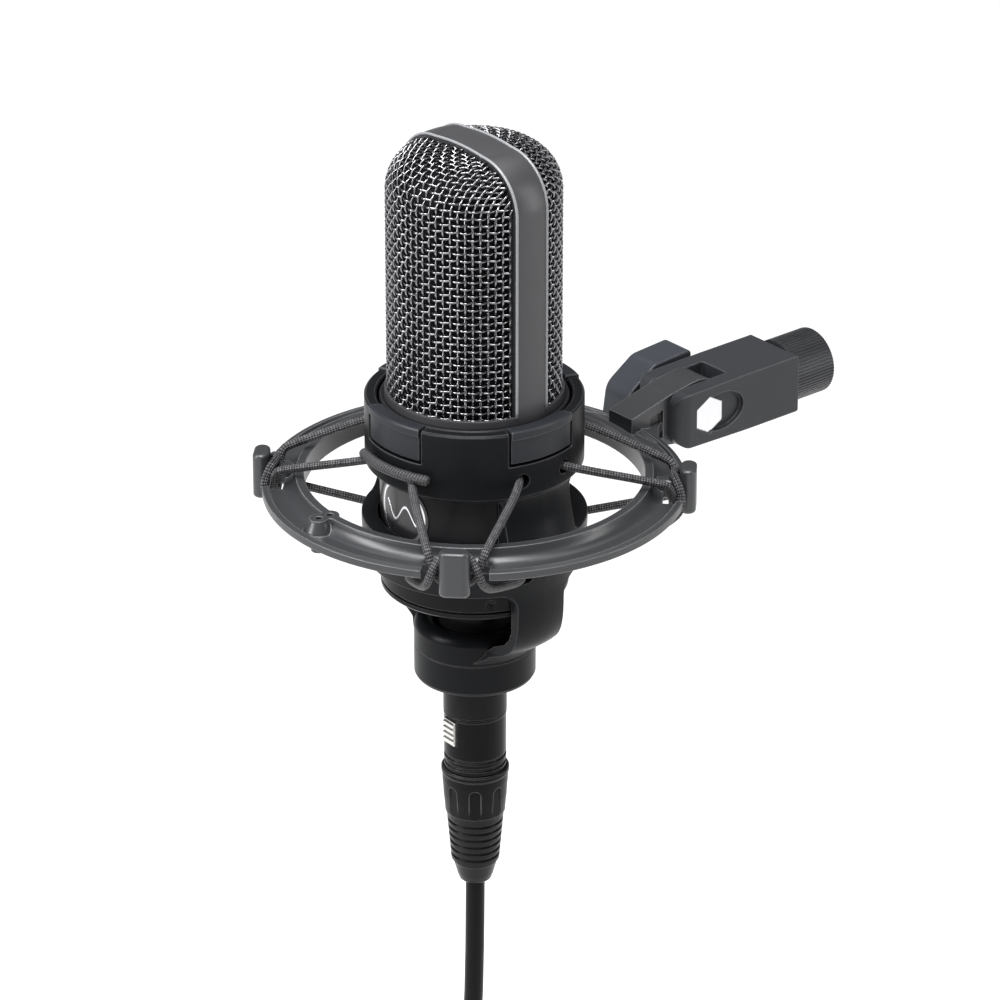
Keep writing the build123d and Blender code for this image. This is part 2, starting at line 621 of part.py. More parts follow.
# ---- shock mount: cradle ------------------------------------------------------------------
NOTCH_BOTTOM = 17.4
with BuildPart() as cradle:
    with BuildSketch(SIDE):
        with BuildLine():
            Polyline((HUB_R - 0.5, -50.2), (HUB_R - 0.5, -46.0), (COLLAR_BORE, -36),
                     (COLLAR_BORE, COLLAR_TOP - 0.5),
                     (COLLAR_BORE + 0.5, COLLAR_TOP), (COLLAR_R - 0.5, COLLAR_TOP),
                     (COLLAR_R, COLLAR_TOP - 0.5), (COLLAR_R, COLLAR_BOTTOM),
                     (COLLAR_R - 1.4, COLLAR_BOTTOM - 1.6))
            Spline((COLLAR_R - 1.4, COLLAR_BOTTOM - 1.6), (30.0, 0), (31.8, -8), (31.4, -17),
                   (30.5, -23), (30.2, -31), (29.5, -37), (27.3, -41.6), (23.4, -44.6),
                   (19.4, -46.6), tangents=((-0.1, -1), (-1, -0.5)))
            Line((19.4, -46.6), (HUB_R - 0.5, -50.2))
        make_face()
    revolve(axis=MIC_AXIS)
    # the inside of the legs follows the outside down to the hub
    turn([(0, -31.5), (COLLAR_BORE, -31.5), (26.6, -38), (24.4, -40.6), (20.5, -42.6),
          (HUB_R, -44.2), (HUB_R, -52), (0, -52)], Mode.SUBTRACT)
    # front and rear windows above the skirt
    for side in (-1, 1):
        near, far = sorted((side * 12.0, side * 40.0))
        with BuildSketch(Plane.YZ):
            with Locations((MIC_Y + (near + far) / 2, (COLLAR_BOTTOM + SKIRT_TOP) / 2 - 0.4)):
                RectangleRounded(far - near, COLLAR_BOTTOM - SKIRT_TOP - 0.8, 3)
        extrude(amount=BIG, both=True, mode=Mode.SUBTRACT)
    # openings below the skirt, which leave one leg on each side
    with BuildSketch(Plane(origin=(0, MIC_Y, 0), x_dir=(0, 1, 0), z_dir=(1, 0, 0))):
        with BuildLine():
            FilletPolyline((-40, SKIRT_BOTTOM), (-LEG_HALF, SKIRT_BOTTOM), (-LEG_HALF, -46.2),
                           (-12.6, -50.6), radius=(5.5, 3.5))
            Polyline((-12.6, -50.6), (-12.6, -54), (-40, -54), (-40, SKIRT_BOTTOM))
        make_face()
        mirror(about=Plane.YZ)
    extrude(amount=BIG, both=True, mode=Mode.SUBTRACT)
    # notches in the collar for the four grip jaws
    for angle in (0, 90, 180, 270):
        sector(20, 40, NOTCH_BOTTOM, 40, angle, JAW_HALF_ANGLE + 1.4, Mode.SUBTRACT)
    # holes and slots that the elastic cords are threaded through
    for quarter in (0, 90, 180, 270):
        for side in (-1, 1):
            with BuildSketch(outward(quarter + side * UPPER_HOLE_ANGLE, 20, UPPER_HOLE_Z)):
                Circle(2.1)
            extrude(amount=20, mode=Mode.SUBTRACT)
            with BuildSketch(outward(quarter + side * LOWER_SLOT_ANGLE, 20, LOWER_SLOT_Z)):
                SlotOverall(7.0, 4.2)
            extrude(amount=20, mode=Mode.SUBTRACT)
    # hub with a thick rounded rim
    with BuildSketch(SIDE):
        with BuildLine():
            Polyline((HUB_R, HUB_TOP - 2.6), (HUB_R, SEAM_Z), (HUB_BORE, SEAM_Z),
                     (HUB_BORE, HUB_TOP - 2.6))
            ThreePointArc((HUB_BORE, HUB_TOP - 2.6), ((HUB_R + HUB_BORE) / 2, HUB_TOP),
                          (HUB_R, HUB_TOP - 2.6))
        make_face()
    revolve(axis=MIC_AXIS)
cradle.part.label = "cradle"
export_step(cradle.part, "parts/cradle.step")

for angle, name in ((0, "front"), (90, "right"), (180, "rear"), (270, "left")):
    with BuildPart() as grip_jaw:
        sector(COLLAR_BORE, COLLAR_R - 0.25, NOTCH_BOTTOM + 0.9, 25.6, angle, JAW_HALF_ANGLE)
        sector(BODY_R + 0.35, COLLAR_R + 0.3, 25.6, 28.0, angle, JAW_HALF_ANGLE)
        fillet(grip_jaw.faces().sort_by(Axis.Z)[-1].edges(), 0.6)
    grip_jaw.part.label = f"{name}_grip_jaw"
    export_step(grip_jaw.part, f"parts/{name}_grip_jaw.step")

with BuildPart() as lock_cup:
    turn([(HUB_BORE, SEAM_Z - 0.15), (HUB_R, SEAM_Z - 0.15), (HUB_R, CUP_BOTTOM + 1.4),
          (HUB_R - 0.5, CUP_BOTTOM + 0.5), (HUB_R - 1.4, CUP_BOTTOM), (HUB_BORE, CUP_BOTTOM)])
lock_cup.part.label = "lock_cup"
export_step(lock_cup.part, "parts/lock_cup.step")


# ---- elastic cords ------------------------------------------------------------------------
def beside(hook, radius, along, z):
    """A point near a hook, a distance along the ring from its middle."""
    turn_to = radians(hook)
    return polar(hook, radius, z) + Vector(cos(turn_to), sin(turn_to), 0) * along


with BuildPart() as upper_elastic:
    for hook in HOOKS:
        reach = 45 - UPPER_HOLE_ANGLE
        tube([polar(hook - reach, 32.4, UPPER_HOLE_Z), beside(hook, 55.2, -7.6, 3.7),
              beside(hook, 56.0, -3.8, -4.4), beside(hook, 56.0, 3.8, -4.4),
              beside(hook, 55.2, 7.6, 3.7), polar(hook + reach, 32.4, UPPER_HOLE_Z)],
             (3.0, 2.6, 2.6, 3.0), CORD_R)
upper_elastic.part.label = "upper_elastic"
export_step(upper_elastic.part, "parts/upper_elastic.step")

with BuildPart() as lower_elastic:
    for hook in HOOKS:
        reach = 45 - LOWER_SLOT_ANGLE
        tube([polar(hook - reach, 33.4, LOWER_SLOT_Z), beside(hook, 55.8, -8.6, -6.4),
              beside(hook, 59.2, -6.6, -0.6), beside(hook, 56.0, -2.9, 4.3),
              beside(hook, 56.0, 2.9, 4.3), beside(hook, 59.2, 6.6, -0.6),
              beside(hook, 55.8, 8.6, -6.4), polar(hook + reach, 33.4, LOWER_SLOT_Z)],
             (3.0, 2.6, 2.2, 2.2, 2.6, 3.0), CORD_R)
lower_elastic.part.label = "lower_elastic"
export_step(lower_elastic.part, "parts/lower_elastic.step")

SLEEVE_RADIUS = 1.7
SLEEVE_R = COLLAR_R + SLEEVE_RADIUS + 0.3
SLEEVE_Z = 15.6
SLEEVE_FROM, SLEEVE_TO = (SLEEVE_R * sin(radians(end)) for end in (-20, 24.5))
with BuildPart() as splice_sleeve:
    with BuildSketch(SIDE):
        with Locations((SLEEVE_R, SLEEVE_Z)):
            Circle(SLEEVE_RADIUS)
    revolve(axis=MIC_AXIS)
    block((SLEEVE_FROM, SLEEVE_TO), (-BIG, 0), (-BIG, BIG), Mode.INTERSECT)
splice_sleeve.part.label = "splice_sleeve"
export_step(splice_sleeve.part, "parts/splice_sleeve.step")

# ---- plug on the near end of the lead -----------------------------------------------------
LATCH_ANGLE = -3.0
LATCH_Z = -77.3
LATCH_RIBS = 4
BOOT_RIBS = 7
BOOT_LENGTH = 22.7
NUT_LENGTH = 14.5
GROOVES = (-86.0, -88.4)       # round the shell, above the nut


def boot_outline(top, direction, bore):
    """A ribbed strain relief that narrows away from the nut; direction is -1 for downwards."""
    points = [(bore, 0), (8.4, 0)]
    for rib in range(BOOT_RIBS):
        start = 0.6 + rib * 2.3
        wide = 8.3 - rib * 0.2
        points += [(wide, start), (wide - 0.1, start + 1.3), (wide - 0.6, start + 1.55),
                   (wide - 0.6, start + 2.1)]
    points += [(6.3, 16.9), (6.0, 18.0), (5.3, 20.6), (4.7, 22.3), (4.3, BOOT_LENGTH),
               (bore, BOOT_LENGTH)]
    return [(radius, top + direction * distance) for radius, distance in points]


def nut_outline(top, direction, bore):
    """The threaded sleeve that closes a plug; direction is -1 for downwards."""
    points = [(bore, 0), (9.45, 0), (9.8, 0.4), (9.8, 1.6), (9.5, 2.1), (9.5, 4.0), (9.25, 9.0),
              (8.9, 12.5), (8.7, NUT_LENGTH), (bore, NUT_LENGTH)]
    return [(radius, top + direction * distance) for radius, distance in points]


with BuildPart() as plug_shell:
    turn([(7.1, BARREL_END + NOSE_LENGTH), (BARREL_BORE - 0.08, BARREL_END + NOSE_LENGTH),
          (BARREL_BORE - 0.08, PLUG_TOP), (PLUG_R + 0.1, PLUG_TOP), (PLUG_R + 0.1, PLUG_TOP - 0.8),
          (PLUG_R, PLUG_TOP - 1.0), (PLUG_R, NUT_TOP + 0.3), (7.1, NUT_TOP + 0.3)])
    for groove in GROOVES:
        turn([(PLUG_R - 0.5, groove - 0.25), (PLUG_R + 0.3, groove - 0.8),
              (PLUG_R + 0.3, groove + 0.8), (PLUG_R - 0.5, groove + 0.25)], Mode.SUBTRACT)
    with BuildSketch(outward(LATCH_ANGLE, 7.4, LATCH_Z)):
        Rectangle(5.2, 8.0)
    extrude(amount=4, mode=Mode.SUBTRACT)
plug_shell.part.label = "plug_shell"
export_step(plug_shell.part, "parts/plug_shell.step")

with BuildPart() as plug_latch:
    with BuildSketch(outward(LATCH_ANGLE, 8.3, LATCH_Z)):
        Rectangle(4.8, 7.6)
    extrude(amount=1.0)
    for step in range(LATCH_RIBS):
        with BuildSketch(outward(LATCH_ANGLE, 9.2, LATCH_Z + 2.6 - step * 1.75)):
            Rectangle(4.8, 1.0)
        extrude(amount=0.6)
plug_latch.part.label = "plug_latch"
export_step(plug_latch.part, "parts/plug_latch.step")

with BuildPart() as plug_insert:
    disc(7.1, NUT_TOP + 2, BARREL_END + NOSE_LENGTH - 0.2)
    with BuildSketch(level(NUT_TOP)):
        with PolarLocations(XLR_PIN_CIRCLE, 3):
            Circle(XLR_PIN_R + 0.08)
    extrude(amount=40, mode=Mode.SUBTRACT)
plug_insert.part.label = "plug_insert"
export_step(plug_insert.part, "parts/plug_insert.step")

with BuildPart() as plug_contacts:
    with BuildSketch(level(NUT_TOP - 2)):
        with PolarLocations(XLR_PIN_CIRCLE, 3):
            Circle(XLR_PIN_R)
    extrude(amount=BARREL_END - NUT_TOP + 3)
plug_contacts.part.label = "plug_contacts"
export_step(plug_contacts.part, "parts/plug_contacts.step")

with BuildPart() as plug_chuck:
    bush(CABLE_R + 0.05, 6.5, BOOT_TOP + 0.5, NUT_TOP - 4)
plug_chuck.part.label = "plug_chuck"
export_step(plug_chuck.part, "parts/plug_chuck.step")

with BuildPart() as plug_nut:
    turn(nut_outline(NUT_TOP, -1, 6.5))
    for flat in range(8):
        with BuildSketch(outward(flat * 45 + 5, 8.7, BOOT_TOP + 3.5)):
            SlotOverall(13, 3.4, rotation=90)
        extrude(amount=3, mode=Mode.SUBTRACT)
plug_nut.part.label = "plug_nut"
export_step(plug_nut.part, "parts/plug_nut.step")

with BuildPart() as plug_boot:
    turn(boot_outline(BOOT_TOP, -1, CABLE_R + 0.05))
plug_boot.part.label = "plug_boot"
export_step(plug_boot.part, "parts/plug_boot.step")


# ---- lead ---------------------------------------------------------------------------------
def hang(x, z, forward=0.0):
    """A point of the lead's route, in the upright plane that holds its coil."""
    return Vector(x, MIC_Y + forward, z)


COIL_TOP = COIL_Z + COIL_OUTER
DROP = [hang(0, -95.5), hang(0, COIL_TOP + 19.1), hang(-7, COIL_TOP + 7), hang(-19.1, COIL_TOP),
        hang(COIL_X, COIL_TOP)]
DROP_RADII = [24.0, 23.5, 23.5]
with BuildPart() as cable_drop:
    tube(DROP, DROP_RADII, CABLE_R)
cable_drop.part.label = "cable_drop"
export_step(cable_drop.part, "parts/cable_drop.step")

COIL_AXIS = Axis((COIL_X, MIC_Y, COIL_Z), (0, 1, 0))
COIL_INNER = COIL_OUTER - TURN_PITCH * (COIL_LAYERS - 1)
COIL_MIDDLE = (COIL_OUTER + COIL_INNER) / 2
COIL_DEEP = TURN_PITCH * 3 + 2 * CABLE_R
COIL_THICK = COIL_OUTER - COIL_INNER + 2 * CABLE_R
COIL_SECTION = Plane(origin=(COIL_X, MIC_Y, COIL_Z), x_dir=(0, 0, 1), z_dir=(1, 0, 0))
with BuildPart() as cable_coil:
    with BuildSketch(COIL_SECTION):
        with Locations((COIL_MIDDLE, 0)):
            RectangleRounded(COIL_THICK, COIL_DEEP, 2.6)
    revolve(axis=COIL_AXIS)
cable_coil.part.label = "cable_coil"
export_step(cable_coil.part, "parts/cable_coil.step")

with BuildPart() as cable_tie:
    with BuildSketch(COIL_SECTION.offset(6)):
        with Locations((COIL_MIDDLE - 0.4, 0)):
            RectangleRounded(COIL_THICK + 5.0, COIL_DEEP + 3.4, 3)
            RectangleRounded(COIL_THICK + 2.6, COIL_DEEP + 1.0, 2, mode=Mode.SUBTRACT)
    extrude(amount=-12)
cable_tie.part.label = "cable_tie"
export_step(cable_tie.part, "parts/cable_tie.step")

FAR_SHELL_TOP = FAR_TOP - BOOT_LENGTH - NUT_LENGTH
with BuildPart() as cable_tail:
    tube([hang(FAR_X, COIL_Z, COIL_FRONT), hang(FAR_X, FAR_TOP - BOOT_LENGTH + 0.7, COIL_FRONT)],
         None, CABLE_R)
cable_tail.part.label = "cable_tail"
export_step(cable_tail.part, "parts/cable_tail.step")

with BuildPart() as far_boot:
    turn(boot_outline(FAR_TOP - BOOT_LENGTH, 1, CABLE_R + 0.05), plane=FAR_SIDE, axis=FAR_AXIS)
far_boot.part.label = "far_boot"
export_step(far_boot.part, "parts/far_boot.step")

with BuildPart() as far_nut:
    turn(nut_outline(FAR_SHELL_TOP, 1, 6.5), plane=FAR_SIDE, axis=FAR_AXIS)
far_nut.part.label = "far_nut"
export_step(far_nut.part, "parts/far_nut.step")

with BuildPart() as far_shell:
    turn([(6.5, FAR_SHELL_TOP), (PLUG_R, FAR_SHELL_TOP), (PLUG_R, FAR_SHELL_TOP - 7),
          (9.4, FAR_SHELL_TOP - 7.6), (9.4, FAR_SHELL_TOP - 24), (BARREL_BORE, FAR_SHELL_TOP - 24),
          (BARREL_BORE, FAR_SHELL_TOP - 9), (6.5, FAR_SHELL_TOP - 9)],
         plane=FAR_SIDE, axis=FAR_AXIS)
far_shell.part.label = "far_shell"
export_step(far_shell.part, "parts/far_shell.step")

FAR_CENTRE = Plane(origin=(FAR_X, MIC_Y + COIL_FRONT, FAR_SHELL_TOP - 9))
with BuildPart() as far_insert:
    with BuildSketch(FAR_CENTRE):
        Circle(BARREL_BORE)
    extrude(amount=-3)
    with BuildSketch(FAR_CENTRE):
        with PolarLocations(XLR_PIN_CIRCLE, 3):
            Circle(XLR_PIN_R)
    extrude(amount=-13)
far_insert.part.label = "far_insert"
export_step(far_insert.part, "parts/far_insert.step")

print("lead: arc radii", DROP_RADII, "coil radii", COIL_INNER, "to", COIL_OUTER)
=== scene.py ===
from math import cos, pi, radians, sin, sqrt

import bpy
import numpy as np
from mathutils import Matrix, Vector


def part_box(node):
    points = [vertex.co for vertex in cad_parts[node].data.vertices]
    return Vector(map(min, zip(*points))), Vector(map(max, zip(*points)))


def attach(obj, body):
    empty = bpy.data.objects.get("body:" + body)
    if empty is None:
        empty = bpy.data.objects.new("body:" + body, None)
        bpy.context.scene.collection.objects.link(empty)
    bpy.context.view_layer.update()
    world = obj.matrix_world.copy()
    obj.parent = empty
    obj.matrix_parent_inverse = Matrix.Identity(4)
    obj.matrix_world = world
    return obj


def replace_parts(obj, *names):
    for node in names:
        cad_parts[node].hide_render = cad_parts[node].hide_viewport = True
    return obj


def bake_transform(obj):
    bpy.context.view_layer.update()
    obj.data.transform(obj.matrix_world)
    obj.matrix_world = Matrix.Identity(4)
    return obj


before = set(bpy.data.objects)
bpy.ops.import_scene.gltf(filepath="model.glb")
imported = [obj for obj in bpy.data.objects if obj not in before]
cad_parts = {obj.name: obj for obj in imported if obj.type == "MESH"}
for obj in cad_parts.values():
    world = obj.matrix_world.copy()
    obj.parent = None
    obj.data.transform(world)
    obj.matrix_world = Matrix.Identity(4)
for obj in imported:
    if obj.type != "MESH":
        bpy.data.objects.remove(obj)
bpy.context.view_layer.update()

# Metres, in the frame of the CAD model: +Z up along the microphone, whose front faces -Y.
MM = 0.001
MIC = Vector((0.0, -0.1294, 0.0))


def polar(angle, radius, z):
    """A point at an angle from the front, towards +X, about the microphone's axis."""
    a = radians(angle)
    return Vector((radius * sin(a), MIC.y - radius * cos(a), z))


# ---- camera -------------------------------------------------------------------------------
CAMERA_AZIMUTH = radians(49.98)
CAMERA_ELEVATION = radians(25.52)
CAMERA_DISTANCE = 1.6
CAMERA_LENS = 204.2     # mm, on a sensor 36 mm wide
TARGET_RIGHT = 0.00716
TARGET_Z = -0.00631

right = Vector((cos(CAMERA_AZIMUTH), sin(CAMERA_AZIMUTH), 0))
back = Vector((
    sin(CAMERA_AZIMUTH) * cos(CAMERA_ELEVATION),
    -cos(CAMERA_AZIMUTH) * cos(CAMERA_ELEVATION),
    sin(CAMERA_ELEVATION),
))
target = MIC + right * TARGET_RIGHT + Vector((0, 0, TARGET_Z))
camera_data = bpy.data.cameras.new("camera")
camera_data.lens = CAMERA_LENS
camera_data.sensor_width = 36.0
camera_data.clip_end = 50
camera = bpy.data.objects.new("camera", camera_data)
bpy.context.scene.collection.objects.link(camera)
camera.location = target + back * CAMERA_DISTANCE
camera.rotation_euler = back.to_track_quat("Z", "Y").to_euler()
bpy.context.scene.camera = camera

# ---- lead: straight out of the plug's boot, then a tied coil that hangs below the view ------
CABLE_D = 5.6 * MM
COIL_X = -0.0331
COIL_Z = -0.2425
TURN_PITCH = 5.6 * MM
COIL_OUTER = 0.0404
COIL_ROWS = 4           # turns across the coil's depth
COIL_LAYERS = 4         # turns through its thickness
POINTS_PER_TURN = 16
COIL_TURNS = 14.25
COIL_TOP = COIL_Z + COIL_OUTER
LAST_ROW = -(COIL_ROWS - 1) / 2 * TURN_PITCH
CABLE_START = -0.110    # inside the plug's boot
TAIL_X = COIL_X - COIL_OUTER
TAIL_START = -0.262
TAIL_END = -0.286


def hang(x, z, forward=0.0):
    """A point of the lead's route, in the upright plane that holds its coil."""
    return Vector((x, MIC.y + forward, z))


def coil_points():
    """The coil's turns, wound layer by layer from the top of the outermost one."""
    points = []
    for step in range(int(COIL_TURNS * POINTS_PER_TURN) + 1):
        turn = step / POINTS_PER_TURN
        # the winding starts and ends on the outside: in through the layers and out again
        depth = abs(1 - 2 * turn / COIL_TURNS)      # 1 outside, 0 at the innermost layer
        radius = COIL_OUTER - (COIL_LAYERS - 1) * TURN_PITCH * (1 - depth)
        # across the rows and back in four turns, eased in from the middle and out to the last row
        row = abs(1 - (turn * 0.5) % 2) * 2 - 1
        side = row * LAST_ROW
        if turn > COIL_TURNS - 1:
            side = side + (LAST_ROW - side) * (turn - COIL_TURNS + 1)
        if turn < 1:
            side *= turn
        angle = pi / 2 + 2 * pi * turn
        points.append(hang(COIL_X + radius * cos(angle), COIL_Z + radius * sin(angle), side))
    return points


route = [hang(0, CABLE_START), hang(0, COIL_TOP + 0.0191), hang(-0.007, COIL_TOP + 0.007),
         hang(-0.0191, COIL_TOP)]
route += coil_points()
route += [hang(TAIL_X, TAIL_START, LAST_ROW), hang(TAIL_X, TAIL_END, LAST_ROW)]


def spline_curve(name, points, radius):
    """A round cord on one smooth NURBS line, with the points as its control points."""
    curve = bpy.data.curves.new(name, "CURVE")
    curve.dimensions = "3D"
    line = curve.splines.new("NURBS")
    line.points.add(len(points) - 1)
    for place, point in zip(line.points, points, strict=True):
        place.co = (*point, 1.0)
        place.radius = radius
    line.order_u = 3
    line.use_endpoint_u = True
    line.resolution_u = 6
    curve.bevel_depth = 1.0 if radius else 0.0          # scaled by the points' own radius
    curve.bevel_resolution = 6
    curve.use_fill_caps = True
    obj = bpy.data.objects.new(name, curve)
    bpy.context.scene.collection.objects.link(obj)
    return obj


def line_length(points):
    """How long a straight-run line through the points is."""
    return sum((b - a).length for a, b in zip(points, points[1:]))


def sampled(points, per_run=4):
    """Points read from the NURBS spline of a route."""
    probe = spline_curve("probe", points, 0.0)
    probe.data.splines[0].resolution_u = per_run
    mesh = bpy.data.meshes.new_from_object(probe)
    found = [v.co.copy() for v in mesh.vertices]
    bpy.data.objects.remove(probe)
    bpy.data.meshes.remove(mesh)
    return found


lead = spline_curve("lead", route, CABLE_D / 2)
LEAD_LENGTH = line_length(sampled(route))
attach(lead, "plug")
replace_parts(lead, "cable_drop", "cable_coil", "cable_tail")


# ---- materials ----------------------------------------------------------------------------
BEVEL_SAMPLES = 4
EDGE_HIGHLIGHT_GAIN = 5.0         # how soon a leaning normal counts as a whole edge of the painted edge highlight
BROAD_GRAIN = 60.0      # scale of the slow variation in colour and roughness
ROUGHNESS_SWING = 0.06


def shader(name, color, roughness, metallic=0.0, **sockets):
    """A Principled material, its node tree and its shader."""
    material = bpy.data.materials.new(name)
    material.use_nodes = True
    tree = material.node_tree
    principled = tree.nodes["Principled BSDF"]
    principled.inputs["Base Color"].default_value = (*color, 1)
    principled.inputs["Roughness"].default_value = roughness
    principled.inputs["Metallic"].default_value = metallic
    for socket, value in sockets.items():
        principled.inputs[socket.replace("_", " ")].default_value = value
    material.diffuse_color = (*color, 1)
    return material, tree, principled


def noise(tree, scale, detail=3.0, roughness=0.5):
    """Object-space noise."""
    place = tree.nodes.new("ShaderNodeTexCoord")
    node = tree.nodes.new("ShaderNodeTexNoise")
    node.inputs["Scale"].default_value = scale
    node.inputs["Detail"].default_value = detail
    node.inputs["Roughness"].default_value = roughness
    tree.links.new(place.outputs["Object"], node.inputs["Vector"])
    return node.outputs["Fac"]


def ranged(tree, value, low, high):
    """Maps 0 to 1 onto low to high."""
    node = tree.nodes.new("ShaderNodeMapRange")
    node.inputs["To Min"].default_value = low
    node.inputs["To Max"].default_value = high
    tree.links.new(value, node.inputs["Value"])
    return node.outputs["Result"]


def mixed(tree, factor, first, second):
    """Two colours mixed by a factor."""
    node = tree.nodes.new("ShaderNodeMix")
    node.data_type = "RGBA"
    node.inputs[6].default_value = (*first, 1)
    node.inputs[7].default_value = (*second, 1)
    tree.links.new(factor, node.inputs[0])
    return node.outputs[2]


def reckoned(tree, kind, *values):
    """One step of arithmetic on numbers or sockets."""
    node = tree.nodes.new("ShaderNodeMath")
    node.operation = kind
    for socket, value in zip(node.inputs, values):
        if isinstance(value, (int, float)):
            socket.default_value = value
        else:
            tree.links.new(value, socket)
    return node.outputs[0]


def bumped(tree, principled, height, strength, distance, bevel=0.0):
    """A bump, over edges rounded by bevel."""
    node = tree.nodes.new("ShaderNodeBump")
    node.inputs["Strength"].default_value = strength
    node.inputs["Distance"].default_value = distance
    tree.links.new(height, node.inputs["Height"])
    if bevel:
        edge = tree.nodes.new("ShaderNodeBevel")
        edge.samples = BEVEL_SAMPLES
        edge.inputs["Radius"].default_value = bevel
        tree.links.new(edge.outputs["Normal"], node.inputs["Normal"])
    tree.links.new(node.outputs["Normal"], principled.inputs["Normal"])


def painted_edge_highlight(tree, color, radius, light):
    """A painted highlight: a colour that turns lighter over rounded edges, by how far the rounded
    normal leans.
    """
    rounded = tree.nodes.new("ShaderNodeBevel")
    rounded.samples = BEVEL_SAMPLES
    rounded.inputs["Radius"].default_value = radius
    flat = tree.nodes.new("ShaderNodeNewGeometry")
    lean = tree.nodes.new("ShaderNodeVectorMath")
    lean.operation = "DOT_PRODUCT"
    tree.links.new(rounded.outputs["Normal"], lean.inputs[0])
    tree.links.new(flat.outputs["Normal"], lean.inputs[1])
    edge = reckoned(tree, "SUBTRACT", 1.0, lean.outputs["Value"])
    edge = reckoned(tree, "MINIMUM", reckoned(tree, "MULTIPLY", edge, EDGE_HIGHLIGHT_GAIN), 1.0)
    node = tree.nodes.new("ShaderNodeMix")
    node.data_type = "RGBA"
    node.inputs[7].default_value = (light, light, light * 1.03, 1)
    tree.links.new(edge, node.inputs[0])
    tree.links.new(color, node.inputs[6])
    return node.outputs[2]


def finished(name, color, roughness, grain, metallic=0.0, spread=0.3, depth=0.00003, bevel=0.0003,
             strength=0.4, edge=0.0, **sockets):
    """A moulded or coated surface: grain gives its texture's scale, spread its variation, and
    edge the grey of a highlight painted over its rounded edges."""
    material, tree, principled = shader(name, color, roughness, metallic, **sockets)
    fine = noise(tree, grain)
    broad = noise(tree, BROAD_GRAIN, 4.0, 0.6)
    darker = tuple(c * (1 - spread) for c in color)
    lighter = tuple(min(1.0, c * (1 + spread)) for c in color)
    shade = mixed(tree, broad, darker, lighter)
    # painted highlight: the colour lightened towards the edge grey over rounded edges
    if edge:
        shade = painted_edge_highlight(tree, shade, bevel, edge)
    tree.links.new(shade, principled.inputs["Base Color"])
    rough = ranged(tree, broad, roughness - ROUGHNESS_SWING, roughness + ROUGHNESS_SWING)
    tree.links.new(rough, principled.inputs["Roughness"])
    bumped(tree, principled, fine, strength, depth, bevel)
    return material


# how strongly the black parts mirror: less than bare plastic would, as they are finely matt
DULL = {"Specular_IOR_Level": 0.09}
SATIN = {"Specular_IOR_Level": 0.30}
FINE = 0.01 * MM        # depth of a fine grain

# edge: the grey of the highlight painted over each material's rounded edges
black_metal = finished("black_metal", (0.008, 0.008, 0.009), 0.30, 5200, spread=0.12, depth=FINE,
                       edge=0.09, **DULL)
band_metal = finished("band_metal", (0.034, 0.034, 0.037), 0.38, 6000, spread=0.08, depth=FINE)
# a light grey rim: a painted highlight along both edges of the band
bead_painted_highlight = finished("bead_painted_highlight", (0.20, 0.205, 0.215), 0.30, 6000, spread=0.06, depth=0.000006,
                      bevel=0.0)
wire_metal = finished("wire_metal", (0.20, 0.20, 0.21), 0.13, 9000, metallic=0.97, spread=0.25,
                      depth=FINE, bevel=0.0)
ring_plastic = finished("ring_plastic", (0.022, 0.023, 0.025), 0.33, 4200, spread=0.1,
                        bevel=0.0005, edge=0.16, Specular_IOR_Level=0.6)
cradle_plastic = finished("cradle_plastic", (0.0058, 0.0062, 0.0072), 0.34, 4200, spread=0.12,
                          depth=FINE, bevel=0.0005, edge=0.09, **DULL)
jaw_plastic = finished("jaw_plastic", (0.012, 0.0135, 0.017), 0.36, 4200, spread=0.1, bevel=0.0005,
                       edge=0.11, **SATIN)
clamp_plastic = finished("clamp_plastic", (0.021, 0.022, 0.025), 0.42, 3600, spread=0.12,
                         bevel=0.0006, edge=0.1, **SATIN)
knob_plastic = finished("knob_plastic", (0.027, 0.030, 0.036), 0.34, 5000, spread=0.06,
                        bevel=0.0005, edge=0.07, **SATIN)
adapter_metal = finished("adapter_metal", (0.030, 0.031, 0.034), 0.36, 5000, metallic=0.4)
chrome = finished("chrome", (0.80, 0.80, 0.82), 0.20, 3000, metallic=1.0, spread=0.03,
                  depth=0.000003, bevel=0.0006)
nickel = finished("nickel", (0.66, 0.65, 0.63), 0.24, 5000, metallic=1.0, spread=0.05,
                  depth=0.000006)
steel = finished("steel", (0.42, 0.42, 0.44), 0.35, 6000, metallic=1.0, spread=0.1)
brass = finished("brass", (0.66, 0.48, 0.22), 0.32, 6000, metallic=1.0, spread=0.1)
plug_metal = finished("plug_metal", (0.003, 0.003, 0.0035), 0.20, 6000, spread=0.12,
                      depth=0.000004, bevel=0.0005, edge=0.1, **DULL)
insulator = finished("insulator", (0.004, 0.004, 0.0045), 0.32, 5000, spread=0.12, depth=FINE,
                     bevel=0.0004, edge=0.18, **DULL)
boot_rubber = finished("boot_rubber", (0.004, 0.004, 0.005), 0.30, 4500, spread=0.15, depth=FINE,
                       bevel=0.0004, Specular_IOR_Level=0.16)
cable_rubber = finished("cable_rubber", (0.003, 0.003, 0.0035), 0.34, 3000, spread=0.15,
                        depth=FINE, **DULL)
magnet_metal = finished("magnet_metal", (0.55, 0.55, 0.57), 0.25, 6000, metallic=1.0, spread=0.06)
foil = finished("foil", (0.80, 0.80, 0.82), 0.28, 6000, metallic=1.0, spread=0.04)
board_green = finished("board_green", (0.02, 0.12, 0.06), 0.45, 3000, spread=0.3)
strap = finished("strap", (0.012, 0.012, 0.014), 0.85, 2600, spread=0.3, depth=0.0001, bevel=0.0)


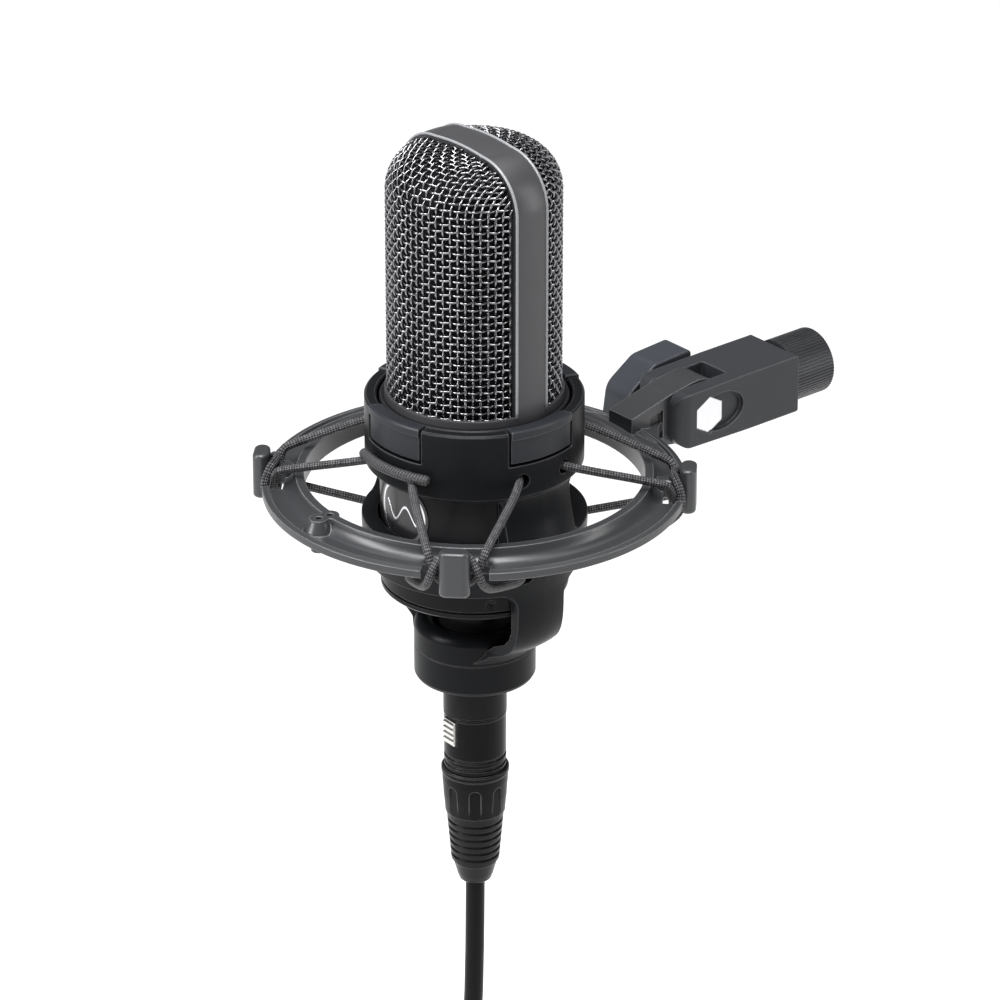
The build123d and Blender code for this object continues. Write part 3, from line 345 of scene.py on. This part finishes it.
def screen_material():
    """A fine black gauze: small square holes by bump, and painted shade in the holes by colour."""
    material, tree, principled = shader("fine_gauze", (0.005, 0.005, 0.006), 0.6, **DULL)
    place = tree.nodes.new("ShaderNodeTexCoord")
    holes = tree.nodes.new("ShaderNodeTexVoronoi")
    holes.inputs["Scale"].default_value = 2200
    tree.links.new(place.outputs["Object"], holes.inputs["Vector"])
    # painted shade: the holes darker than the threads between them
    tree.links.new(mixed(tree, holes.outputs["Distance"], (0.001, 0.001, 0.001),
                         (0.007, 0.007, 0.0075)), principled.inputs["Base Color"])
    bumped(tree, principled, holes.outputs["Distance"], 0.6, 0.0001)
    return material


BADGE_Z = -0.002
BADGE_RIM_R = 0.0087
BADGE_RIM_HALF = 0.00045
WAVE_REACH = 0.0066
WAVE_HEIGHT = 0.0024
WAVE_RATE = 700.0       # radians a metre
WAVE_HALF = 0.0004


def badge_material():
    """A black enamel disc with a bright rim and a plain wave across it."""
    material, tree, principled = shader("badge_enamel", (0.02, 0.02, 0.022), 0.25)
    place = tree.nodes.new("ShaderNodeTexCoord")
    split = tree.nodes.new("ShaderNodeSeparateXYZ")
    tree.links.new(place.outputs["Object"], split.inputs["Vector"])

    def math(kind, *values):
        return reckoned(tree, kind, *values)

    x = split.outputs["X"]
    z = math("SUBTRACT", split.outputs["Z"], BADGE_Z)
    radius = math("SQRT", math("ADD", math("MULTIPLY", x, x), math("MULTIPLY", z, z)))
    rim = math("COMPARE", radius, BADGE_RIM_R, BADGE_RIM_HALF)
    wave = math("MULTIPLY", math("SINE", math("MULTIPLY", x, WAVE_RATE)), WAVE_HEIGHT)
    line = math("LESS_THAN", math("ABSOLUTE", math("SUBTRACT", z, wave)), WAVE_HALF)
    inside = math("LESS_THAN", radius, WAVE_REACH)
    bright = math("MAXIMUM", rim, math("MULTIPLY", line, inside))
    tree.links.new(mixed(tree, bright, (0.012, 0.012, 0.014), (0.72, 0.72, 0.74)),
                   principled.inputs["Base Color"])
    tree.links.new(bright, principled.inputs["Metallic"])
    bumped(tree, principled, bright, 0.5, 0.0001)
    return material


gauze = screen_material()
badge_enamel = badge_material()

looks = {
    black_metal: ("body_tube", "base_cap", "case_screws", "neck", "top_ring"),
    band_metal: ("grille_frame",),
    wire_metal: ("front_grille", "rear_grille"),
    gauze: ("front_screen", "rear_screen"),
    badge_enamel: ("badge",),
    ring_plastic: ("suspension_ring",),
    cradle_plastic: ("cradle", "lock_cup"),
    jaw_plastic: ("front_grip_jaw", "right_grip_jaw", "rear_grip_jaw", "left_grip_jaw"),
    clamp_plastic: ("swivel_block",),
    knob_plastic: ("clamp_knob",),
    adapter_metal: ("stand_adapter",),
    chrome: ("clamp_bolt",),
    nickel: ("plug_latch",),
    steel: ("clamp_washer", "knob_nut", "swivel_stud", "motor_frame", "motor_plate",
            "chassis_posts", "transformer"),
    brass: ("thread_insert", "ribbon_clamps", "plug_contacts", "xlr_pins", "far_insert"),
    plug_metal: ("plug_shell", "far_shell"),
    insulator: ("xlr_insert", "plug_insert", "plug_chuck", "plug_nut", "far_nut"),
    boot_rubber: ("plug_boot", "far_boot", "motor_isolators"),
    magnet_metal: ("magnets",),
    foil: ("front_ribbon", "rear_ribbon"),
    board_green: ("circuit_board",),
    strap: ("cable_tie",),
}
for material, names in looks.items():
    for name in names:
        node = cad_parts[name]
        node.data.materials.clear()
        node.data.materials.append(material)
lead.data.materials.append(cable_rubber)


# ---- mesh helpers -------------------------------------------------------------------------
def mesh_piece(name, vertices, faces, material, uvs=None, smooth=True):
    """An object from plain lists, with one UV pair for each vertex if given."""
    mesh = bpy.data.meshes.new(name)
    mesh.from_pydata([tuple(v) for v in vertices], [], faces)
    if uvs is not None:
        layer = mesh.uv_layers.new(name="UVMap")
        index = np.zeros(len(mesh.loops), int)
        mesh.loops.foreach_get("vertex_index", index)
        layer.data.foreach_set("uv", np.asarray(uvs)[index].ravel())
    mesh.polygons.foreach_set("use_smooth", [smooth] * len(mesh.polygons))
    mesh.materials.append(material)
    obj = bpy.data.objects.new(name, mesh)
    bpy.context.scene.collection.objects.link(obj)
    return obj


def tube_mesh(lines, radius, sides, normals=None):
    """Round tubes along lists of points: vertices, faces and UVs in metres along and turns round.

    radius is one number, or a function of the share of the way along.
    """
    vertices, faces, uvs = [], [], []
    for which, line in enumerate(lines):
        points = np.array([tuple(p) for p in line], float)
        tangents = np.gradient(points, axis=0)
        tangents /= np.linalg.norm(tangents, axis=1)[:, None]
        if normals is None:
            up = np.array([0.0, 0.0, 1.0])
            if abs(tangents[0] @ up) > 0.9:
                up = np.array([1.0, 0.0, 0.0])
            first = np.cross(tangents[0], up)
            frames = []
            for tangent in tangents:
                first = first - tangent * (first @ tangent)
                first /= np.linalg.norm(first)
                frames.append(first.copy())
            side = np.array(frames)
        else:
            side = np.cross(tangents, np.array(normals[which]))
            side /= np.linalg.norm(side, axis=1)[:, None]
        other = np.cross(tangents, side)
        along = np.concatenate([[0], np.cumsum(np.linalg.norm(np.diff(points, axis=0), axis=1))])
        start = len(vertices)
        for k, (point, a, b) in enumerate(zip(points, side, other, strict=True)):
            wide = radius(along[k] / along[-1]) if callable(radius) else radius
            for s in range(sides):
                angle = 2 * pi * s / sides
                vertices.append(point + wide * (a * cos(angle) + b * sin(angle)))
                uvs.append((along[k], s / sides))
        for k in range(len(points) - 1):
            for s in range(sides):
                a0, a1 = start + k * sides + s, start + k * sides + (s + 1) % sides
                faces.append((a0, a1, a1 + sides, a0 + sides))
        faces.append(tuple(start + s for s in reversed(range(sides))))
        faces.append(tuple(start + (len(points) - 1) * sides + s for s in range(sides)))
    return vertices, faces, uvs


# ---- woven wire grille --------------------------------------------------------------------
FLANGE_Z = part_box("top_ring")[1].z
GRILLE_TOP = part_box("front_grille")[1].z
WIRE_R = 0.00034
WIRE_PITCH = 0.00207
GRILLE_R = 0.0240
SHOULDER_R = 0.0120     # of the mesh
CROWN = 0.0009          # rise of the top's middle
MESH_DROP = 0.0004      # from the CAD grille's outside down to the middle of the weave
BAND_HALF = 0.0054
BAND_GAP = 0.0001
SEGMENTS = 4            # tube rings to each cell of the weave
WIRE_SIDES = 6
WEAVE_SWING = WIRE_R * 1.05
WALL_POINTS = 60
TOP_POINTS = 160


def dome_height(r):
    """Height of the mesh's middle surface at a distance from the axis, past the wall's top."""
    centre = GRILLE_R - SHOULDER_R
    top = GRILLE_TOP - CROWN - MESH_DROP
    if r > centre:
        return top - SHOULDER_R + sqrt(max(0.0, SHOULDER_R ** 2 - (r - centre) ** 2))
    return top + CROWN * (1 - (r / centre) ** 2)


def dome_normal(x, y, z):
    """The outward direction of the mesh's middle surface."""
    r = sqrt(x * x + y * y)
    centre = GRILLE_R - SHOULDER_R
    wall_top = dome_height(GRILLE_R)
    if z <= wall_top + 1e-6:
        lean = 1.0
    else:
        lean = min(1.0, max(0.0, (r - centre) / SHOULDER_R))
    return np.array([x / r * lean, y / r * lean, sqrt(max(0.0, 1 - lean * lean))])


def warp_path(angle):
    """A wire that goes up the front wall and over the top in an upright plane: its points."""
    x = GRILLE_R * sin(angle)
    y_wall = -GRILLE_R * cos(angle)
    wall_top = dome_height(GRILLE_R)
    points = [(x, y_wall, z) for z in np.linspace(FLANGE_Z, wall_top, WALL_POINTS)]
    for y in np.linspace(y_wall, -BAND_HALF - BAND_GAP, TOP_POINTS)[1:]:
        points.append((x, y, dome_height(sqrt(x * x + y * y))))
    return np.array(points)


def weave_half(name, side):
    """One half of the grille: wires up and over, and wires round, crossing over and under."""
    reach = int(np.arccos((BAND_HALF + MESH_DROP) / GRILLE_R) * GRILLE_R / WIRE_PITCH)
    columns = {}
    for i in range(-reach, reach + 1):
        path = warp_path(i * WIRE_PITCH / GRILLE_R)
        along = np.concatenate([[0], np.cumsum(np.linalg.norm(np.diff(path, axis=0), axis=1))])
        columns[i] = (path, along)

    def at(i, s):
        path, along = columns[i]
        return np.array([np.interp(s, along, path[:, k]) for k in range(3)])

    lines, line_normals = [], []
    for i, (path, along) in columns.items():
        steps = int(along[-1] / WIRE_PITCH * SEGMENTS)
        line, normals = [], []
        for step in range(steps + 1):
            j = step / SEGMENTS
            point = at(i, j * WIRE_PITCH)
            normal = dome_normal(*point)
            line.append(point + normal * WEAVE_SWING * cos(pi * (j + i)))
            normals.append(normal)
        lines.append(line)
        line_normals.append(normals)
    rows = int(max(along[-1] for _, along in columns.values()) / WIRE_PITCH)
    for j in range(1, rows + 1):
        held = [i for i in columns if columns[i][1][-1] >= j * WIRE_PITCH]
        runs, run = [], []
        for i in held:
            if run and i != run[-1] + 1:
                runs.append(run)
                run = []
            run.append(i)
        runs.append(run)
        for run in runs:
            if len(run) < 2:
                continue
            corners = np.array([at(i, j * WIRE_PITCH) for i in run])
            line, normals = [], []
            steps = (len(run) - 1) * SEGMENTS
            for step in range(steps + 1):
                place = step / SEGMENTS
                i = run[0] + place
                point = smooth_through(corners, place)
                normal = dome_normal(*point)
                line.append(point - normal * WEAVE_SWING * cos(pi * (j + i)))
                normals.append(normal)
            lines.append(line)
            line_normals.append(normals)
    lines = [[(p[0], MIC.y + (p[1] if side < 0 else -p[1]), p[2]) for p in line] for line in lines]
    if side > 0:
        line_normals = [[n * np.array([1, -1, 1]) for n in normals] for normals in line_normals]
    vertices, faces, _ = tube_mesh(lines, WIRE_R, WIRE_SIDES, line_normals)
    obj = mesh_piece(name, vertices, faces, wire_metal)
    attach(obj, "microphone")
    return obj


def smooth_through(corners, place):
    """A point on the smooth line through the corners, at a place counted in corners."""
    k = min(int(place), len(corners) - 2)
    t = place - k
    p1, p2 = corners[k], corners[k + 1]
    p0 = corners[k - 1] if k else 2 * p1 - p2
    p3 = corners[k + 2] if k + 2 < len(corners) else 2 * p2 - p1
    return 0.5 * (2 * p1 + (p2 - p0) * t + (2 * p0 - 5 * p1 + 4 * p2 - p3) * t ** 2
                  + (3 * p1 - p0 - 3 * p2 + p3) * t ** 3)


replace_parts(weave_half("front_wire_mesh", -1), "front_grille")
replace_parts(weave_half("rear_wire_mesh", 1), "rear_grille")


# ---- bead along both edges of the grille's band, light grey as a painted highlight --------
BAND_R = 0.0253
BAND_SHOULDER_R = 0.0140
BEAD_R = 0.00042
BEAD_FOOT = 0.002       # clear of the flange
BEAD_SIDES = 8


def band_bead(name, side):
    """A thin rounded edge that follows the band up, over and down."""
    half = BAND_HALF - BAND_GAP
    reach = sqrt(BAND_R ** 2 - half ** 2)
    centre = BAND_R - BAND_SHOULDER_R
    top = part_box("grille_frame")[1].z - CROWN
    wall_top = top - BAND_SHOULDER_R
    wall = [(reach, z) for z in np.linspace(FLANGE_Z + BEAD_FOOT, wall_top, 30)]
    points = list(wall)
    for x in reach * np.cos(np.linspace(0, pi, TOP_POINTS)):
        r = sqrt(x * x + half * half)
        if r > centre:
            z = wall_top + sqrt(max(0.0, BAND_SHOULDER_R ** 2 - (r - centre) ** 2))
        else:
            z = top + CROWN * (1 - (r / centre) ** 2)
        points.append((x, z))
    points += [(-x, z) for x, z in reversed(wall)]
    line = [(x, MIC.y + side * half, z) for x, z in points]
    vertices, faces, _ = tube_mesh([line], BEAD_R, BEAD_SIDES)
    obj = mesh_piece(name, vertices, faces, bead_painted_highlight)
    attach(obj, "microphone")
    return obj


band_bead("front_band_bead", -1)
band_bead("rear_band_bead", 1)


# ---- elastic cords ------------------------------------------------------------------------
HOOKS = (45, 135, 225, 315)
CORD_R = 0.00120
CORD_SIDES = 16
STRAND_PITCH = 0.0016
STRANDS = 6             # round the cord, in each of its two directions


def braid_material(name, dark, light):
    """A braided cord: two crossing families of strands, light where they pass over."""
    material, tree, principled = shader(name, dark, 0.55, **SATIN)
    place = tree.nodes.new("ShaderNodeUVMap")
    place.uv_map = "UVMap"
    split = tree.nodes.new("ShaderNodeSeparateXYZ")
    tree.links.new(place.outputs["UV"], split.inputs["Vector"])

    def math(kind, *values):
        return reckoned(tree, kind, *values)

    along = math("MULTIPLY", split.outputs["X"], 2 * pi / STRAND_PITCH)
    around = math("MULTIPLY", split.outputs["Y"], 2 * pi * STRANDS)
    one = math("SINE", math("ADD", along, around))
    two = math("SINE", math("SUBTRACT", along, around))
    height = math("MULTIPLY", one, two)
    weave = math("MULTIPLY_ADD", height, 0.5, 0.5)
    uneven = ranged(tree, noise(tree, 900, 2.0), 0.2, 1.4)
    flecks = math("POWER", math("MULTIPLY", weave, uneven), 2.0)
    tree.links.new(mixed(tree, flecks, dark, light), principled.inputs["Base Color"])
    bumped(tree, principled, weave, 0.9, 0.00025)
    return material


braid = braid_material("elastic_braid", (0.004, 0.004, 0.005), (0.19, 0.19, 0.20))


def beside(hook, radius, along, z):
    """A point near a hook, a distance along the ring from its middle."""
    a = radians(hook)
    return polar(hook, radius, z) + Vector((cos(a), sin(a), 0)) * along


def elastic(name, hook, half_route, node):
    """One loop of elastic cord round a hook, given from one collar hole to the hook's middle."""
    points = half_route(hook, -1) + list(reversed(half_route(hook, 1)))
    vertices, faces, uvs = tube_mesh([sampled(points, 10)], CORD_R, CORD_SIDES)
    obj = mesh_piece(name, vertices, faces, braid, uvs)
    obj.data.update()
    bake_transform(obj)
    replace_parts(obj, node)


def upper(hook, side):
    """Half of an upper loop: from its hole, over the ring and under its hook's head."""
    return [polar(hook + side * 30.4, 0.0285, 0.0128),
            polar(hook + side * 30.6, 0.0312, 0.0126),
            beside(hook, 0.0530, side * 0.0086, 0.0051),
            beside(hook, 0.0556, side * 0.0077, 0.0036),
            beside(hook, 0.0563, side * 0.0060, -0.0016),
            beside(hook, 0.0561, side * 0.0040, -0.0046),
            beside(hook, 0.0560, side * 0.0010, -0.0046)]


def lower(hook, side):
    """Half of a lower loop: from its slot, under the ring and up behind its hook."""
    return [polar(hook + side * 31.0, 0.0290, -0.0168),
            polar(hook + side * 30.6, 0.0334, -0.0168),
            beside(hook, 0.0530, side * 0.0098, -0.0078),
            beside(hook, 0.0562, side * 0.0086, -0.0060),
            beside(hook, 0.0584, side * 0.0076, -0.0040),
            beside(hook, 0.0590, side * 0.0064, -0.0002),
            beside(hook, 0.0574, side * 0.0042, 0.0036),
            beside(hook, 0.0560, side * 0.0010, 0.0044)]


for number, hook in enumerate(HOOKS, 1):
    elastic(f"upper_cord_{number}", hook, upper, "upper_elastic")
    elastic(f"lower_cord_{number}", hook, lower, "lower_elastic")

# ---- wrapped splice at the front of the collar --------------------------------------------
SPLICE_R = 0.0329       # from the microphone's axis
SPLICE_RADIUS = 0.0015  # of the splice itself
SPLICE_FROM, SPLICE_TO = -20.5, 28.0
SPLICE_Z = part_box("splice_sleeve")[0].z
SPLICE_POINTS = 140
SPLICE_SIDES = 20
THREAD_PITCH = 0.0009


def wrapped_material():
    """Thread wound closely round the cord's two ends, with painted shade in the grooves between
    turns and a painted highlight on their crests.
    """
    material, tree, principled = shader("splice_thread", (0.012, 0.012, 0.013), 0.5, **SATIN)
    place = tree.nodes.new("ShaderNodeUVMap")
    place.uv_map = "UVMap"
    split = tree.nodes.new("ShaderNodeSeparateXYZ")
    tree.links.new(place.outputs["UV"], split.inputs["Vector"])
    turns = reckoned(tree, "MULTIPLY", split.outputs["X"], 2 * pi / THREAD_PITCH)
    lean = reckoned(tree, "MULTIPLY", split.outputs["Y"], 2 * pi)
    wave = reckoned(tree, "SINE", reckoned(tree, "ADD", turns, lean))
    height = reckoned(tree, "MULTIPLY_ADD", wave, 0.5, 0.5)
    # painted shade and highlight: dark in the grooves, lighter on each turn's crest, made uneven
    # by noise
    rough = reckoned(tree, "MULTIPLY", height, noise(tree, 1500))
    tree.links.new(mixed(tree, rough, (0.006, 0.006, 0.007), (0.10, 0.10, 0.105)),
                   principled.inputs["Base Color"])
    bumped(tree, principled, height, 0.8, 0.0002)
    return material


def splice_radius(share):
    """The splice's radius along its length, with rounded ends."""
    end = min(share, 1 - share) * 26
    return SPLICE_RADIUS * (sqrt(max(0.04, 1 - (1 - end) ** 2)) if end < 1 else 1.0)


splice_line = [polar(angle, SPLICE_R, SPLICE_Z)
               for angle in np.linspace(SPLICE_FROM, SPLICE_TO, SPLICE_POINTS)]
splice_vertices, splice_faces, splice_uvs = tube_mesh([splice_line], splice_radius, SPLICE_SIDES)
splice = mesh_piece("cord_splice", splice_vertices, splice_faces, wrapped_material(), splice_uvs)
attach(splice, "cradle")
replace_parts(splice, "splice_sleeve")

# ---- floor, light and background ----------------------------------------------------------
FLOOR_Z = -0.60
FLOOR_HALF = 30.0


def white_material():
    """Matt white paper."""
    material, tree, principled = shader("paper", (0.92, 0.92, 0.92), 0.9)
    tree.links.new(mixed(tree, noise(tree, 3.0), (0.91, 0.91, 0.91), (0.93, 0.93, 0.93)),
                   principled.inputs["Base Color"])
    return material


def floor():
    """A wide pale floor, well below the lead."""
    corners = [(x * FLOOR_HALF, y * FLOOR_HALF, FLOOR_Z)
               for x, y in ((-1, -1), (1, -1), (1, 1), (-1, 1))]
    obj = mesh_piece("floor", corners, [(0, 1, 2, 3)], white_material(), smooth=False)


def aside(azimuth, elevation):
    """A direction given by its angle to the right of the camera's and its height."""
    a, e = CAMERA_AZIMUTH + radians(azimuth), radians(elevation)
    return Vector((sin(a) * cos(e), -cos(a) * cos(e), sin(e)))


def softbox(name, azimuth, elevation, distance, size, power):
    """A square light that faces the microphone."""
    data = bpy.data.lights.new(name, "AREA")
    data.shape = "RECTANGLE"
    data.size, data.size_y = size
    data.energy = power
    obj = bpy.data.objects.new(name, data)
    bpy.context.scene.collection.objects.link(obj)
    away = aside(azimuth, elevation)
    obj.location = MIC + away * distance
    obj.rotation_euler = away.to_track_quat("Z", "Y").to_euler()


def sun(name, azimuth, elevation, angle, strength):
    """A soft, far light."""
    data = bpy.data.lights.new(name, "SUN")
    data.angle = radians(angle)
    data.energy = strength
    obj = bpy.data.objects.new(name, data)
    bpy.context.scene.collection.objects.link(obj)
    obj.rotation_euler = aside(azimuth, elevation).to_track_quat("Z", "Y").to_euler()


floor()
sun("overhead", 0, 89, 20, 2.5)
softbox("key", -70, 32, 1.1, (0.34, 1.0), 15)
softbox("fill", 78, 15, 1.2, (0.22, 1.0), 5)
softbox("top", -10, 64, 1.1, (0.7, 0.4), 15)
softbox("rim", 175, 62, 1.2, (0.9, 0.5), 2)

world = bpy.data.worlds.new("world")
world.use_nodes = True
sky = world.node_tree.nodes["Background"]
sky.inputs["Color"].default_value = (1.0, 1.0, 1.0, 1)
sky.inputs["Strength"].default_value = 0.16
bpy.context.scene.world = world
bpy.context.scene.view_settings.view_transform = "Standard"
